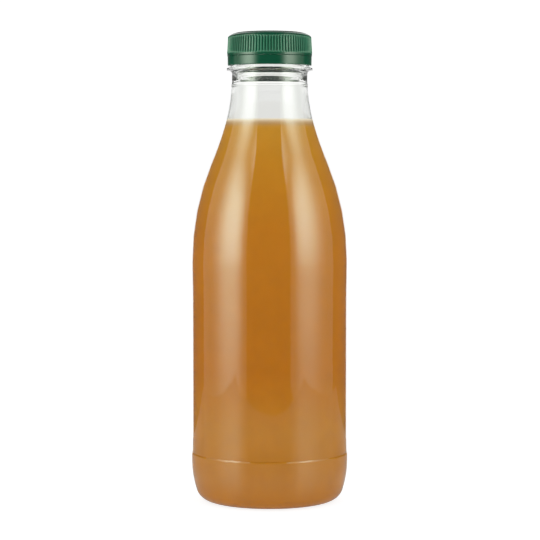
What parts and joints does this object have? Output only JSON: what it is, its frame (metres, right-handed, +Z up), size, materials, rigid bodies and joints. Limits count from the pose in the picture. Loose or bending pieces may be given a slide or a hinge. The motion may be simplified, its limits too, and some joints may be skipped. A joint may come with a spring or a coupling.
{
  "type": "juice bottle",
  "caption": "Clear plastic juice bottle with long sloping shoulders, filled to the neck with cloudy amber juice and shut by a ribbed green screw cap with a tamper band.",
  "frame": {"origin": "middle of the base, on the surface the bottle stands on", "axes": "+Z up along the bottle's axis, from the base to the cap; X and Y are any two directions across it"},
  "size_m": [0.0754, 0.0754, 0.2253],
  "materials": {
    "clear_pet": "clear blow-moulded PET, glossy",
    "juice": "cloudy amber juice",
    "green_plastic": "injection-moulded polyethylene, satin"
  },
  "bodies": {
    "root": {"bottle": "clear_pet", "juice": "juice", "tamper_band": "green_plastic", "cap": "green_plastic"}
  },
  "joints": []
}
